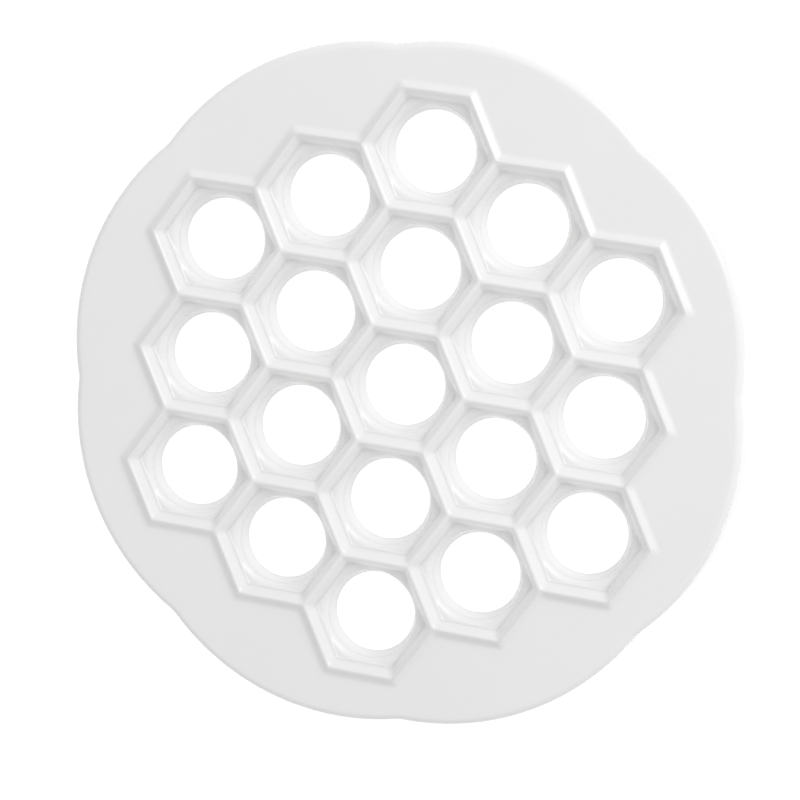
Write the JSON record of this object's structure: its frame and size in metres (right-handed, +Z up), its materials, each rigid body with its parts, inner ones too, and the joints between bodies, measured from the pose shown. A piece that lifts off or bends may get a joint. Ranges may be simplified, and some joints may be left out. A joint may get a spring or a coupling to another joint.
{
  "type": "pelmeni mold",
  "caption": "Round white plastic dumpling mould: a lobed rim around a honeycomb of raised hexagonal cells, each with a round through hole and a short collar below.",
  "frame": {"origin": "middle of the base plane, on the axis of the middle cell", "axes": "+Z up from the base to the rib crests, +X along the middle row of cells, +Y across the rows"},
  "size_m": [0.2442, 0.2442, 0.015],
  "materials": {
    "white_plastic": "glossy"
  },
  "bodies": {
    "root": {"cell_ribs": "white_plastic", "cell_funnels": "white_plastic", "hole_collars": "white_plastic", "rim_flange": "white_plastic", "rim_skirt": "white_plastic"}
  },
  "joints": []
}
